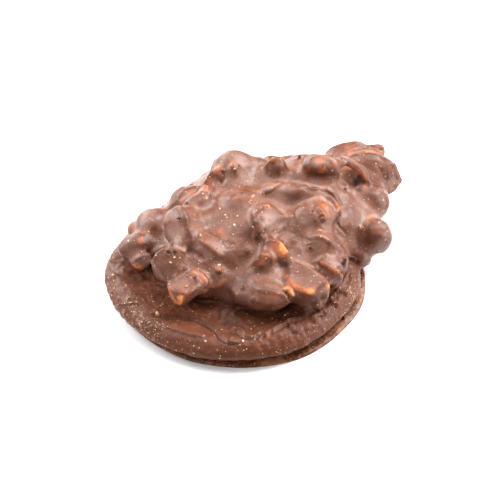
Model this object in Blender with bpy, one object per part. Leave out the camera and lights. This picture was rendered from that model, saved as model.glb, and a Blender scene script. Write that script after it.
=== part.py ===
"""Pecan chocolate cluster: chopped pecans and caramel on a round patty, under one coat of milk chocolate.

+X runs along the cluster towards the pecan tail, +Z is up, and the origin is under its middle, on the base.
Lengths below are millimetres, angles are degrees.
"""

import math

import bmesh
import bpy
from mathutils import Euler, Vector, noise

MM = 0.001

# The middle of the outline as it is laid out below, which goes over the origin
MIDDLE = (-0.9, -2.9)

CHOCOLATE_COLOUR = (0.25, 0.105, 0.065)
CHOCOLATE_ROUGHNESS = 0.4

# The patty that carries the nuts, and the thin foot of chocolate below it; both are slightly oval
PATTY_CENTRE = (-8.8, -2.0)
PATTY_RADIUS = 23.4
FOOT_CENTRE = (-7.8, -3.1)
OVAL_ANGLE = -40
OVAL_LONG = 1.035
OVAL_SHORT = 0.985
BURIED = 2.0  # how far the shapes run below the base before it is cut flat

# The patty is pressed in at the back, and its outline and its top are uneven
DENT_DEPTH = 2.3
DENT_ANGLE = 103
DENT_SPREAD = 44
OUTLINE_WAVE = 0.35
TOP_WAVE = 0.5

# Sections as (radius, height), from the axis over the top and out to the underside
PATTY_SECTION = [
    (0, 4.4), (13, 4.4), (16, 4.35), (18.4, 4.6), (20, 5.0), (21, 5.0), (22, 4.6), (22.9, 3.8),
    (PATTY_RADIUS, 2.9), (23.2, 2.2), (22.6, 1.5), (22.0, 0.9), (22.0, -BURIED), (0, -BURIED),
]
FOOT_SECTION = [(0, 0.9), (22.2, 0.9), (22.6, 0.7), (22.9, 0.4), (22.8, -BURIED), (0, -BURIED)]

# The coat: hollows narrower than twice its fillet fill with chocolate
COAT_FILLET = 0.7
COAT_VOXEL = 0.33
SKIN_VOXEL = 0.3
TRIANGLES = 8000

# How uneven a nut's surface is, as a share of its size
UNEVEN = 0.1

# The caramel under the nuts, as overlapping domes
CARAMEL = {
    "middle": dict(at=(-3, -0.2, 5), size=(17.8, 13.5, 9.9), turn=-40, square=2.2),
    "front": dict(at=(-7.5, -6.5, 4.5), size=(14, 9.2, 8.2), turn=-40, square=1.75),
    "middle_shelf": dict(at=(-1.6, -8.2, 10.2), size=(5.2, 4.2, 3), turn=-40, square=3),
    "right_shelf": dict(at=(-2.2, -13, 8.6), size=(5, 4.2, 3.3), turn=-40, square=2.6),
    "right_skirt": dict(at=(3.2, -15.6, 7.6), size=(3.6, 3.8, 4), turn=-40),
    "front_slope": dict(at=(-10, -12.2, 7), size=(6.4, 4.6, 4.6), turn=-40),
    "left_shelf": dict(at=(-13, -2.6, 10.2), size=(3.6, 3.6, 3), turn=-40, square=2.6),
    "left_valley": dict(at=(-18, 8.2, 6.4), size=(3.4, 3.2, 3.2), turn=-40),
    "flake_shelf": dict(at=(-12.2, 4.4, 11.9), size=(3.6, 3.3, 2.9), turn=-40),
    "lobe_shelf": dict(at=(-15.6, -2.4, 8.6), size=(3.9, 3.6, 3.4), turn=-40),
    "lobe_fill": dict(at=(-17, -3.6, 7.8), size=(3, 2.8, 2.6), turn=-40),
    "gap_fill": dict(at=(-16.4, -2.8, 9.9), size=(3.6, 2.8, 2.5), turn=-40),
    "pit_fill": dict(at=(-15.4, -6.2, 8.2), size=(3.6, 2.8, 2.4), turn=-40),
    "saddle": dict(at=(4.6, 8.2, 12.2), size=(4.2, 3, 3.2), turn=-30),
    "apron_left": dict(at=(0, 7.4, 13.1), size=(4.6, 3.8, 2.2), turn=-40),
    "apron_middle": dict(at=(6, 3.2, 12.9), size=(5.4, 3.2, 2.2), turn=-40),
    "apron_right": dict(at=(11.2, -2.8, 12.6), size=(4.6, 3.2, 2.2), turn=-40),
    "tip_fill": dict(at=(11.4, 2.6, 12.2), size=(4.2, 2.6, 2.6), turn=-40),
    "nut_fill": dict(at=(0.6, -9.2, 10.9), size=(3, 2.2, 2), turn=-40),
    "left_top": dict(at=(-9, 3, 9), size=(7, 5.5, 5.2), turn=-40),
    "left": dict(at=(-16.5, -2.5, 6), size=(5, 5, 4), turn=-40),
    "right": dict(at=(10, -6, 5), size=(10.5, 9, 7.8), turn=-40),
    "back": dict(at=(2, 6, 6), size=(13, 9.5, 7.8), turn=-40),
    "shelf": dict(at=(-1.8, 1.3, 11.3), size=(6, 5, 3.8), turn=-40),
    "terrace": dict(at=(10, -0.9, 11), size=(8.5, 4.4, 4.2), turn=-40),
    "behind_shell": dict(at=(16, 3, 8.3), size=(5, 4, 3.2), turn=-40),
    "tail_root": dict(at=(18.5, -2.5, 7), size=(8, 6, 5), turn=-30),
}

# Each nut piece: centre, half sizes, turn about Z, dip of its +X end, roll about its length, how square
NUTS = {
    "left_shoulder": dict(at=(-16.8, 12, 8.5), size=(4.2, 3.4, 3.4), turn=20),
    "middle_bump": dict(at=(-15.1, -2.3, 12.3), size=(3.3, 1.4, 1.4), turn=-90, dip=18, square=2.6),
    "back_left": dict(at=(-8.9, 11.4, 10.2), size=(3.8, 3.2, 3.4), turn=0),
    "hump": dict(at=(1.6, 10, 13.1), size=(4.5, 3.9, 4.3), turn=-20),
    "back_shoulder": dict(at=(13.4, 3.3, 12.2), size=(4.4, 2.4, 2.2), turn=-40),
    "tail_top": dict(at=(24.8, 3.1, 7.3), size=(5, 3, 3.6), turn=-25, square=2.3),
    "right_arc": dict(at=(19.6, -9, 8), size=(3.8, 3.5, 3.8), turn=-80),
    "ball_neck": dict(at=(14.3, -12.6, 7.3), size=(3, 2, 2.8), turn=-70),
    "ridge_lump_back": dict(at=(-3.8, -1.4, 12.8), size=(3.2, 2.6, 2.1), turn=-50),
    "faint_dome": dict(at=(-4.5, 1.7, 13.6), size=(4, 3, 2), turn=-60),
    "below_ball": dict(at=(10.2, -14.6, 3.8), size=(3.6, 2.6, 2.8), turn=-60),
    "front_finger": dict(at=(-12.3, -14.7, 7.6), size=(5.4, 2.2, 2.1), turn=-42, dip=3, square=2.4),
    "ridge_left": dict(at=(2.6, -0.6, 15), size=(2.8, 1.5, 1.6), turn=-30, dip=-12, square=2.4),
    "ridge_middle": dict(at=(4.9, -3.8, 15.5), size=(3.2, 1.6, 1.8), turn=-48, square=2.4),
    "ridge_right": dict(at=(7.2, -6.8, 15.3), size=(3, 1.5, 1.8), turn=-55, dip=5, square=2.4),
    "back_a": dict(at=(-7, 12.4, 6.8), size=(3.6, 3, 2.6), turn=10),
    "back_b": dict(at=(-3, 14, 7), size=(4.2, 3, 3.2), turn=-20),
    "back_c": dict(at=(3.5, 14, 7), size=(4, 3.2, 3.4), turn=20),
    "back_d": dict(at=(9, 11.5, 7), size=(4.2, 3.2, 3.6), turn=-35),
    "back_e": dict(at=(14.5, 8.5, 6.6), size=(4.2, 3, 3.2), turn=-50),
    "back_f": dict(at=(8.5, 8, 10.2), size=(3.8, 3, 2.8), turn=10),
    "left_knob": dict(at=(-22.3, 10.2, 8.3), size=(3.5, 2.5, 2.4), turn=160, dip=10),
    "left_lobe": dict(at=(-18.8, 14.6, 7), size=(1.8, 1.6, 1.8), turn=120),
    "left_stick": dict(at=(-23.3, 7.1, 6.6), size=(2.3, 1, 0.9), turn=165, dip=10, square=6),
    "standing_flake": dict(
        at=(-16.3, 4.8, 12.3), size=(4.3, 3.2, 2.4), turn=50, dip=-45, roll=-35, square=2.6,
    ),
    "big_lobe": dict(at=(-20.8, 0.7, 8.8), size=(3.9, 3.6, 3.5), turn=30, square=2.6),
    "box_chunk": dict(at=(-22.6, -4.6, 9), size=(2.6, 2.4, 2.3), turn=5, dip=4, square=8),
    "box_side": dict(at=(-19.8, -5.6, 9), size=(2, 2, 2), turn=-40, square=2.4),
    "box_corner": dict(at=(-24, -5.1, 7.4), size=(1.7, 1.6, 1.6), turn=5, square=4),
    "finger": dict(at=(-10.2, 6.9, 14), size=(3.4, 1.6, 1.7), turn=-6, dip=-10, square=2.8),
    "small_bump": dict(at=(-7, 8, 14.9), size=(1.7, 0.9, 0.9), turn=-20),
    "orange_finger": dict(at=(-3.7, 9.3, 15), size=(2.6, 1.3, 1.3), turn=7, dip=-10, square=2.8),
    "below_hump": dict(at=(0.2, 8.1, 15.6), size=(1.3, 1.2, 1.3), turn=0, square=2.6),
    "cone": dict(at=(6.6, 3.8, 16.2), size=(2, 1.9, 2.2), turn=0),
    "back_tip": dict(at=(12.3, 3.6, 14), size=(1.3, 1.2, 1.8), turn=0),
    "oblong": dict(at=(13, -2, 15.7), size=(3.7, 2.3, 2.5), turn=-45, square=2.6),
    "shell_near": dict(at=(17.6, -3.4, 14.9), size=(2.6, 1, 1.1), turn=-50, dip=10, square=2.6),
    "shell_middle": dict(at=(19.2, -5.5, 13.6), size=(2.2, 0.9, 1.2), turn=-70, dip=25, square=2.6),
    "shell_far": dict(at=(19.3, -7.8, 12), size=(2.2, 0.9, 1.1), turn=-100, dip=50, square=2.6),
    "tail_crest": dict(at=(26, 1, 8.7), size=(5, 0.9, 2.5), turn=-19, square=3.5),
    "tail_front": dict(at=(25.3, -2.4, 6.9), size=(5.9, 2.6, 3.7), turn=-44, dip=5, square=2.6),
    "tail_end": dict(at=(27.5, -4.9, 6.3), size=(3.1, 1.4, 2.2), turn=-40, dip=22, square=2.4),
    "ball": dict(at=(14.8, -16.4, 7.3), size=(2.8, 2.8, 3.6), turn=0),
    "ridge_end": dict(at=(8.6, -10.1, 14.6), size=(2.4, 1, 1.5), turn=-90, dip=30, square=2.6),
    "standing_nut": dict(at=(3.6, -10.0, 13.3), size=(4.2, 3.2, 3.6), turn=-30, dip=-10, square=2.3),
    "ridge_lump": dict(at=(-3, -4.9, 13), size=(3.8, 3.1, 2.5), turn=-40, square=2.4),
    "orange_wedge": dict(at=(-6, -10.6, 12.9), size=(3.2, 1.5, 1.7), turn=-76, dip=12, square=3.5),
    "small_cone": dict(at=(-9, -11.6, 11.2), size=(1.7, 1.6, 1.6), turn=0),
    "right_bump": dict(at=(1.6, -14.6, 11.9), size=(2.8, 1.6, 1.8), turn=-50, square=2.6),
    "slab": dict(at=(-4.4, -18.2, 8.3), size=(3.9, 2.8, 2.3), turn=-88, dip=8, roll=-6, square=8),
    "slab_foot": dict(at=(-5.4, -18.6, 6.6), size=(3, 2.2, 2.2), turn=-80, square=3.5),
    "wedge": dict(at=(0.2, -18.7, 9.2), size=(2.9, 1.7, 1.8), turn=-78, dip=12, roll=12, square=3.2),
    "shard": dict(at=(-8.4, -17.7, 9.2), size=(1.9, 0.6, 1), turn=-85, square=3),
    "tiny_bump": dict(at=(-16.1, -6.5, 10.6), size=(0.8, 0.8, 1.2), turn=0),
}

# Bites taken out below the lips and under the lumps, where the coat didn't run in
HOLLOWS = {
    "below_shell": dict(at=(15.4, -7, 13.4), size=(2.8, 1.2, 1.7), turn=-55, dip=16),
}


def clear_scene():
    for obj in list(bpy.data.objects):
        bpy.data.objects.remove(obj)


def mesh_object(name, bm):
    mesh = bpy.data.meshes.new(name)
    bm.to_mesh(mesh)
    bm.free()
    obj = bpy.data.objects.new(name, mesh)
    bpy.context.scene.collection.objects.link(obj)
    return obj


def add_lump(bm, at, size, turn=0, dip=0, roll=0, square=2.0):
    """An uneven rounded block: its sections go from round (square 2) towards a box (square 6)."""
    made = bmesh.ops.create_icosphere(bm, subdivisions=4, radius=1)
    turned = Euler((math.radians(roll), math.radians(dip), math.radians(turn))).to_matrix()
    seed = Vector(at)
    for vert in made["verts"]:
        reach = sum(abs(c) ** square for c in vert.co) ** (-1 / square)
        reach *= 1 + UNEVEN * noise.noise(vert.co * 1.3 + seed)
        vert.co = seed + turned @ Vector([c * reach * half for c, half in zip(vert.co, size)])


def lumps_object(name, table):
    bm = bmesh.new()
    for lump in table.values():
        add_lump(bm, **lump)
    return mesh_object(name, bm)


def press(co):
    """Moves a point of the turned patty to where the uneven patty has it."""
    radius, angle = co.xy.length, math.degrees(math.atan2(co.y, co.x))
    if radius < 1:
        return co
    outward = Vector((co.x, co.y, 0)) / radius
    share = min(radius / PATTY_RADIUS, 1) ** 3
    off = abs((angle - DENT_ANGLE + 180) % 360 - 180) / DENT_SPREAD
    dent = DENT_DEPTH * math.cos(min(off, 1) * math.pi / 2) ** 2
    wave = OUTLINE_WAVE * noise.noise(outward * 2.2)
    rise = TOP_WAVE * noise.noise(co / 6) * max(min(co.z - 2, 2), 0) / 2
    return co + outward * (wave - dent) * share + Vector((0, 0, rise))


def turned_object(name, section, centre):
    """A closed solid of revolution from its section, drawn out into an oval."""
    bm = bmesh.new()
    verts = [bm.verts.new((radius, 0, height)) for radius, height in section]
    edges = [bm.edges.new(pair) for pair in zip(verts, verts[1:])]
    bmesh.ops.spin(
        bm, geom=verts + edges, cent=(0, 0, 0), axis=(0, 0, 1), angle=math.tau, steps=96, use_merge=True,
    )
    bmesh.ops.remove_doubles(bm, verts=bm.verts, dist=0.0001)
    bmesh.ops.recalc_face_normals(bm, faces=bm.faces)
    bmesh.ops.scale(bm, vec=(OVAL_LONG, OVAL_SHORT, 1), verts=bm.verts)
    bmesh.ops.rotate(bm, matrix=Euler((0, 0, math.radians(OVAL_ANGLE))).to_matrix(), verts=bm.verts)
    for vert in bm.verts:
        vert.co = press(vert.co)
    bmesh.ops.translate(bm, vec=(*centre, 0), verts=bm.verts)
    return mesh_object(name, bm)


def voxel_remesh(obj, size):
    modifier = obj.modifiers.new("fuse", "REMESH")
    modifier.mode = "VOXEL"
    modifier.voxel_size = size


def grow(obj, distance):
    modifier = obj.modifiers.new("grow", "DISPLACE")
    modifier.strength = distance
    modifier.mid_level = 0


def relax(obj, times, factor=0.5):
    modifier = obj.modifiers.new("relax", "SMOOTH")
    modifier.iterations = times
    modifier.factor = factor


def bite(obj, cutter):
    cutter.hide_render = True
    cutter.display_type = "WIRE"
    modifier = obj.modifiers.new("bite", "BOOLEAN")
    modifier.operation = "DIFFERENCE"
    modifier.solver = "EXACT"
    modifier.object = cutter


def apply_modifiers(obj):
    """Keeps the evaluated mesh and drops the modifiers."""
    depsgraph = bpy.context.evaluated_depsgraph_get()
    mesh = bpy.data.meshes.new_from_object(obj.evaluated_get(depsgraph))
    obj.modifiers.clear()
    obj.data = mesh


def make_nut_mass():
    """Caramel and nuts, fused, with the narrow hollows between them filled by the coat."""
    cutter = lumps_object("hollows", HOLLOWS)
    obj = lumps_object("nut_mass", CARAMEL | NUTS)
    voxel_remesh(obj, COAT_VOXEL)
    bite(obj, cutter)
    voxel_remesh(obj, COAT_VOXEL)
    grow(obj, COAT_FILLET)
    voxel_remesh(obj, COAT_VOXEL)
    relax(obj, 1)
    grow(obj, -COAT_FILLET)
    relax(obj, 1)
    apply_modifiers(obj)
    bpy.data.objects.remove(cutter)
    return obj


def join(name, objects):
    bm = bmesh.new()
    for obj in objects:
        bm.from_mesh(obj.data)
        bpy.data.objects.remove(obj)
    return mesh_object(name, bm)


def cut_base(bm):
    """Cuts away everything below the base and closes it with one flat face."""
    geom = bm.verts[:] + bm.edges[:] + bm.faces[:]
    cut = bmesh.ops.bisect_plane(
        bm, geom=geom, dist=0.00001, plane_co=(0, 0, 0), plane_no=(0, 0, 1), clear_inner=True,
    )
    rim = [edge for edge in cut["geom_cut"] if isinstance(edge, bmesh.types.BMEdge)]
    for edge in rim:
        for vert in edge.verts:
            vert.co.z = 0
    bmesh.ops.contextual_create(bm, geom=rim)
    bmesh.ops.triangulate(bm, faces=bm.faces)


def make_chocolate():
    material = bpy.data.materials.new("chocolate")
    material.use_nodes = True
    shader = material.node_tree.nodes["Principled BSDF"]
    shader.inputs["Base Color"].default_value = (*CHOCOLATE_COLOUR, 1)
    shader.inputs["Roughness"].default_value = CHOCOLATE_ROUGHNESS
    shader.inputs["Metallic"].default_value = 0
    return material


def main():
    clear_scene()
    patty = turned_object("patty", PATTY_SECTION, PATTY_CENTRE)
    foot = turned_object("foot", FOOT_SECTION, FOOT_CENTRE)
    cluster = join("chocolate_cluster", [make_nut_mass(), patty, foot])
    voxel_remesh(cluster, SKIN_VOXEL)
    relax(cluster, 1)
    apply_modifiers(cluster)
    thin_out = cluster.modifiers.new("thin out", "DECIMATE")
    thin_out.ratio = TRIANGLES / (2 * len(cluster.data.polygons))
    apply_modifiers(cluster)
    bm = bmesh.new()
    bm.from_mesh(cluster.data)
    cut_base(bm)
    bmesh.ops.translate(bm, vec=(-MIDDLE[0], -MIDDLE[1], 0), verts=bm.verts)
    bmesh.ops.scale(bm, vec=(MM, MM, MM), verts=bm.verts)
    bm.to_mesh(cluster.data)
    bm.free()
    cluster.data.shade_smooth()
    cluster.data.materials.append(make_chocolate())


main()
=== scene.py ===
import math

import bmesh
import bpy
import numpy as np
from mathutils import Euler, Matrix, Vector, noise
from mathutils.bvhtree import BVHTree


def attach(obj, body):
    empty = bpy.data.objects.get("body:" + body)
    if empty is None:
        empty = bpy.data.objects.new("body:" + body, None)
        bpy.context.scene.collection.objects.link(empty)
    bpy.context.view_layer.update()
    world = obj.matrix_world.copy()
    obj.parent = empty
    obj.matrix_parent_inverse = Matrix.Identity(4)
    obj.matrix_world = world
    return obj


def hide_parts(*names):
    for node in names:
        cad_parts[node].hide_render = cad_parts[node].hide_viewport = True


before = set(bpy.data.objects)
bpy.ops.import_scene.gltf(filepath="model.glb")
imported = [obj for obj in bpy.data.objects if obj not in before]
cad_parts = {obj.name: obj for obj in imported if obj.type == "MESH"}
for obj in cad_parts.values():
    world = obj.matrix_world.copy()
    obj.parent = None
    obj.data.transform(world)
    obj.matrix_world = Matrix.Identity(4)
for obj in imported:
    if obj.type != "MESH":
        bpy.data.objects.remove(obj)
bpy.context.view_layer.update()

toMetres = 0.001  # everything below is laid out in millimetres
middle = Vector((-0.9, -2.9, 0))  # the layout's point that goes over the origin
collection = bpy.context.scene.collection

# Camera, at the photograph's angle

cameraSetup = dict(
    azimuth=-40,
    elevation=45,
    distance=450,
    lens=173.34,
    sensor=36,
    aim=(-6.7, -4.5, 8.4),
    nearest=0.01,  # in metres
)
imageSize = 500


def cameraAxes(azimuth, elevation):
    a, e = math.radians(azimuth), math.radians(elevation)
    back = Vector((math.sin(a) * math.cos(e), -math.cos(a) * math.cos(e), math.sin(e)))
    right = Vector((math.cos(a), math.sin(a), 0))
    return right, back.cross(right), back


viewRight, viewUp, viewBack = cameraAxes(cameraSetup["azimuth"], cameraSetup["elevation"])
viewPoint = Vector(cameraSetup["aim"]) + viewBack * cameraSetup["distance"]


def makeCamera():
    data = bpy.data.cameras.new("camera")
    data.lens = cameraSetup["lens"]
    data.sensor_width = cameraSetup["sensor"]
    data.clip_start = cameraSetup["nearest"]
    camera = bpy.data.objects.new("camera", data)
    camera.location = (viewPoint - middle) * toMetres
    camera.rotation_mode = "QUATERNION"
    camera.rotation_quaternion = (-viewBack).to_track_quat("-Z", "Y")
    collection.objects.link(camera)
    bpy.context.scene.camera = camera


def rayThrough(x, y):
    # the line of sight through a point of the 500 by 500 picture
    focal = cameraSetup["lens"] / cameraSetup["sensor"] * imageSize
    half = imageSize / 2
    return (viewRight * (x - half) / focal + viewUp * (half - y) / focal - viewBack).normalized()


# Mesh helpers

def meshObject(name, bm):
    mesh = bpy.data.meshes.new(name)
    bm.to_mesh(mesh)
    bm.free()
    obj = bpy.data.objects.new(name, mesh)
    collection.objects.link(obj)
    return obj


def voxelRemesh(obj, size):
    modifier = obj.modifiers.new("fuse", "REMESH")
    modifier.mode = "VOXEL"
    modifier.voxel_size = size


def grow(obj, distance):
    modifier = obj.modifiers.new("grow", "DISPLACE")
    modifier.strength = distance
    modifier.mid_level = 0


def relax(obj, times, factor=0.5):
    modifier = obj.modifiers.new("relax", "SMOOTH")
    modifier.iterations = times
    modifier.factor = factor


def applyModifiers(obj):
    depsgraph = bpy.context.evaluated_depsgraph_get()
    mesh = bpy.data.meshes.new_from_object(obj.evaluated_get(depsgraph))
    obj.modifiers.clear()
    obj.data = mesh


def smoothStep(low, high, value):
    t = np.clip((value - low) / (high - low), 0, 1)
    return t * t * (3 - 2 * t)


# The nut pieces and the caramel between them, as uneven rounded blocks
# each row: centre, half sizes, turn about Z, how square (2 is round), dip of the +X end

caramel = {
    "middle": ((-3, -0.2, 5), (17.8, 13.5, 9.9), -40, 2.2),
    "front": ((-7.5, -6.5, 4.5), (14, 9.2, 8.2), -40, 1.75),
    "middleShelf": ((-1.6, -8.2, 10.2), (5.2, 4.2, 3), -40, 3),
    "rightShelf": ((-2.2, -13, 8.6), (5, 4.2, 3.3), -40, 2.6),
    "rightSkirt": ((3.2, -15.6, 7.6), (3.6, 3.8, 4), -40),
    "frontSlope": ((-10, -12.2, 7), (6.4, 4.6, 4.6), -40),
    "leftShelf": ((-13, -2.6, 10.2), (3.6, 3.6, 3), -40, 2.6),
    "leftValley": ((-18, 8.2, 6.4), (3.4, 3.2, 3.2), -40),
    "flakeShelf": ((-12.2, 4.4, 11.9), (3.6, 3.3, 2.9), -40),
    "lobeShelf": ((-15.6, -2.4, 8.6), (3.9, 3.6, 3.4), -40),
    "lobeFill": ((-17, -3.6, 7.8), (3, 2.8, 2.6), -40),
    "gapFill": ((-16.4, -2.8, 9.9), (3.6, 2.8, 2.5), -40),
    "pitFill": ((-15.4, -6.2, 8.2), (3.6, 2.8, 2.4), -40),
    "saddle": ((4.6, 8.2, 12.2), (4.2, 3, 3.2), -30),
    "apronLeft": ((0, 7.4, 13.1), (4.6, 3.8, 2.2), -40),
    "apronMiddle": ((6, 3.2, 12.9), (5.4, 3.2, 2.2), -40),
    "apronRight": ((11.2, -2.8, 12.6), (4.6, 3.2, 2.2), -40),
    "tipFill": ((11.4, 2.6, 12.2), (4.2, 2.6, 2.6), -40),
    "noseFill": ((-1.9, -3.4, 13.2), (3.0, 2.4, 2.0), -40),
    "nutFill": ((0.6, -9.2, 10.9), (3, 2.2, 2), -40),
    "leftTop": ((-9, 3, 9), (7, 5.5, 5.2), -40),
    "left": ((-16.5, -2.5, 6), (5, 5, 4), -40),
    "right": ((10, -6, 5), (10.5, 9, 7.8), -40),
    "back": ((2, 6, 6), (13, 9.5, 7.8), -40),
    "shelf": ((-1.8, 1.3, 11.3), (6, 5, 3.8), -40),
    "terrace": ((10, -0.9, 11), (8.5, 4.4, 4.2), -40),
    "behindShell": ((16, 3, 8.3), (5, 4, 3.2), -40),
    "tailRoot": ((18.5, -2.5, 7), (8, 6, 5), -30),
}

# pieces well under the coat
nutPieces = {
    "leftShoulder": ((-16.8, 12, 8.5), (4.2, 3.4, 3.4), 20),
    "backLeft": ((-8.9, 11.4, 10.2), (3.8, 3.2, 3.4), 0),
    "hump": ((1.6, 10, 13.1), (4.5, 3.9, 4.3), -20),
    "backShoulder": ((13.4, 3.3, 12.2), (4.4, 2.4, 2.2), -40),
    "tailTop": ((24.8, 3.1, 7.3), (5, 3, 3.6), -25, 2.3),
    "rightArc": ((19.6, -9, 8), (3.8, 3.5, 3.8), -80),
    "ballNeck": ((14.3, -12.6, 7.3), (3, 2, 2.8), -70),
    "ridgeLumpBack": ((-3.8, -1.4, 12.8), (3.2, 2.6, 2.1), -50),
    "faintDome": ((-4.5, 1.7, 13.6), (4, 3, 2), -60),
    "belowBall": ((10.2, -14.6, 3.8), (3.6, 2.6, 2.8), -60),
    "frontFinger": ((-12.3, -14.7, 7.6), (5.4, 2.2, 2.1), -42, 2.4, 3),
    "ridgeLeft": ((2.6, -0.6, 15), (2.8, 1.5, 1.6), -30, 2.4, -12),
    "ridgeMiddle": ((4.9, -3.8, 15.5), (3.2, 1.6, 1.8), -48, 2.4),
    "ridgeRight": ((7.2, -6.8, 15.3), (3, 1.5, 1.8), -55, 2.4, 5),
    "backA": ((-7, 12.4, 6.8), (3.6, 3, 2.6), 10),
    "backB": ((-3, 14, 7), (4.2, 3, 3.2), -20),
    "backC": ((3.5, 14, 7), (4, 3.2, 3.4), 20),
    "backD": ((9, 11.5, 7), (4.2, 3.2, 3.6), -35),
    "backE": ((14.5, 8.5, 6.6), (4.2, 3, 3.2), -50),
    "backF": ((8.5, 8, 10.2), (3.8, 3, 2.8), 10),
}

# pieces that stand proud of the coat, with a crease round them
proudPieces = {
    "leftKnob": ((-22.3, 10.2, 8.3), (3.5, 2.5, 2.4), 160, 2.0, 10),
    "leftLobe": ((-18.8, 14.6, 7), (1.8, 1.6, 1.8), 120),
    "boxSide": ((-19.8, -5.6, 9), (2, 2, 2), -40, 2.4),
    "finger": ((-10.2, 6.9, 14), (3.4, 1.6, 1.7), -6, 2.8, -10),
    "smallBump": ((-7, 8, 14.9), (1.7, 0.9, 0.9), -20),
    "belowHump": ((0.2, 8.1, 15.6), (1.3, 1.2, 1.3), 0, 2.6),
    "oblong": ((13, -2, 15.7), (3.7, 2.3, 2.5), -45, 2.6),
    "tailFront": ((24.6, -1.8, 6.9), (5, 2.6, 3.2), -44, 2.6, 5),
    "ball": ((14.8, -16.4, 7.3), (2.8, 2.8, 3.6), 0),
    "ridgeEnd": ((8.6, -10.1, 14.6), (2.4, 1, 1.5), -90, 2.6, 30),
    "standingNut": ((3.6, -10.0, 13.3), (4.2, 3.2, 3.6), -30, 2.3, -10),
    "slabFoot": ((-5.4, -18.6, 6.6), (3, 2.2, 2.2), -80, 3.5),
    "shard": ((-8.4, -17.7, 9.2), (1.9, 0.6, 1), -85, 3),
    "tinyBump": ((-16.1, -6.5, 10.6), (0.8, 0.8, 1.2), 0),
}

# pieces with flat faces: their corners as points of the picture, each with its height
flatPieces = {
    "orangeWedge": [
        (265, 238, 14.8), (277, 237.5, 15.2), (285, 243, 15.0), (291, 252, 13.9), (285, 258, 12.9),
        (270, 256, 12.8), (261, 249, 13.2),
    ],
    "smallCone": [
        (262, 254, 15.0), (267, 254, 14.9), (272, 259, 13.8), (251, 265, 11.6), (258, 276, 10.6),
        (274, 266, 11.8), (266, 250, 12.6),
    ],
    "slab": [
        (290, 259, 12.0), (304, 265, 12.0), (328, 282, 11.2), (313, 293, 10.4), (299, 288, 10.6),
        (288, 278, 11.0), (291, 299, 7.0), (300, 307, 5.6), (316, 308.5, 5.2), (327, 303, 6.2),
        (331, 289, 9.0),
    ],
    "skirt": [
        (318, 261, 12.1), (327, 266, 11.8), (337, 272, 11.3), (343, 276, 10.6), (326, 254, 12.4),
        (341, 261, 11.5), (319, 273, 9.8), (331, 285, 8.0), (341, 287, 6.6),
    ],
    "box": [
        (166, 283, 10.5), (187, 271.5, 11.5), (200, 285, 10.9), (189, 293.5, 10.6), (178, 293, 10.4),
        (169.5, 297, 7.8), (178, 309, 6.2), (187, 303, 7.0), (203, 289, 8.4),
    ],
    "stick": [
        (130, 262, 8.0), (139, 255, 9.4), (151, 252, 9.8), (154, 260, 9.0), (147, 267, 7.6),
        (136, 269.5, 6.2), (130, 265.5, 6.6),
    ],
    "orangeFinger": [
        (219, 166, 16.3), (223, 170, 16.3), (222, 178, 15.4), (216, 184, 14.3), (206, 184, 13.6),
        (203, 180, 13.8), (210, 170, 15.7),
    ],
    "tailBody": [
        (346, 158, 11.0), (355, 153.5, 11.2), (365, 151.5, 11.0), (377, 153, 10.4), (388, 157, 9.4),
        (397, 162.5, 8.2), (400, 171, 6.6), (405, 180, 4.8), (397, 188, 3.8), (388, 196, 3.4),
        (376, 190, 5.6), (366, 178, 8.2), (353, 167, 10.0),
    ],
    "tailBlade": [
        (346, 156, 10.8), (356, 147.5, 11.0), (366, 144, 10.8), (381, 142.5, 9.8), (386, 149, 9.2),
        (387, 155, 8.6), (365, 153, 10.0), (350, 158, 10.4),
    ],
    "backTip": [(299, 151.3, 16.4), (303, 155, 15.6), (294, 156, 15.4), (308, 160, 14.4), (288, 161, 14.2)],
}

# the same, but worn round
wornPieces = {
    "nose": [
        (256, 241, 12.8), (258, 230, 15.1), (256, 216, 16.0), (250, 206, 14.8), (270, 203, 15.7),
        (284, 216, 15.0), (276, 232, 13.5), (248, 232, 13.2), (250, 221, 14.5),
    ],
    "rightBump": [
        (306, 240, 13.4), (313, 236.5, 14.1), (321, 236, 14.4), (331, 242, 13.7), (343, 250, 11.8),
        (310, 252, 12.2), (322, 256, 12.0), (334, 256, 11.6), (322, 229, 13.7), (336, 236, 12.8),
    ],
    "finger": [
        (254, 289, 10.3), (263, 290, 10.8), (276, 293, 10.6), (286, 297, 10.0), (290.5, 300.5, 9.0),
        (250, 276, 10.8), (270, 280, 10.8), (283, 289, 10.3), (243, 302, 6.6), (256, 310.5, 5.8),
        (272, 311.5, 5.6), (284, 306, 6.2), (289, 303, 7.0), (241, 292, 8.6), (260, 301, 9.0),
        (274, 303, 8.8),
    ],
    "lobe": [
        (153, 258, 11.2), (157, 251, 12.4), (164, 247.5, 13.0), (172, 247, 13.2), (181, 249, 12.9),
        (190, 254, 12.0), (195, 262, 11.0), (191, 271, 10.6), (152, 265, 9.6), (155, 274, 8.0),
        (161, 280, 7.4), (168, 283, 9.2), (180, 274, 10.8),
    ],
    "flake": [
        (175, 207, 16.5), (182, 210, 16.9), (186.5, 222, 16.2), (190, 233, 15.0), (190, 243, 13.8),
        (166, 214, 15.3), (163.5, 224, 14.3), (165, 236, 13.0), (171, 244, 12.4), (179, 247, 12.4),
        (201, 222, 14.2), (203, 236, 13.4), (195, 208, 15.0),
    ],
    "middleBump": [
        (199, 236, 14.4), (207, 244, 14.1), (216, 252, 13.3), (224, 258, 12.2), (210, 231, 14.1),
        (223, 240, 13.5), (232, 250, 12.6), (192, 246, 12.4), (196, 257, 12.0), (206, 264, 11.4),
    ],
    "cone": [
        (272, 157.5, 17.9), (280, 157, 17.9), (284, 160, 17.5), (279, 166, 17.1), (263, 166, 15.6),
        (266, 174, 14.7), (278, 177, 14.7), (289, 171, 15.1),
    ],
}

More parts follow.
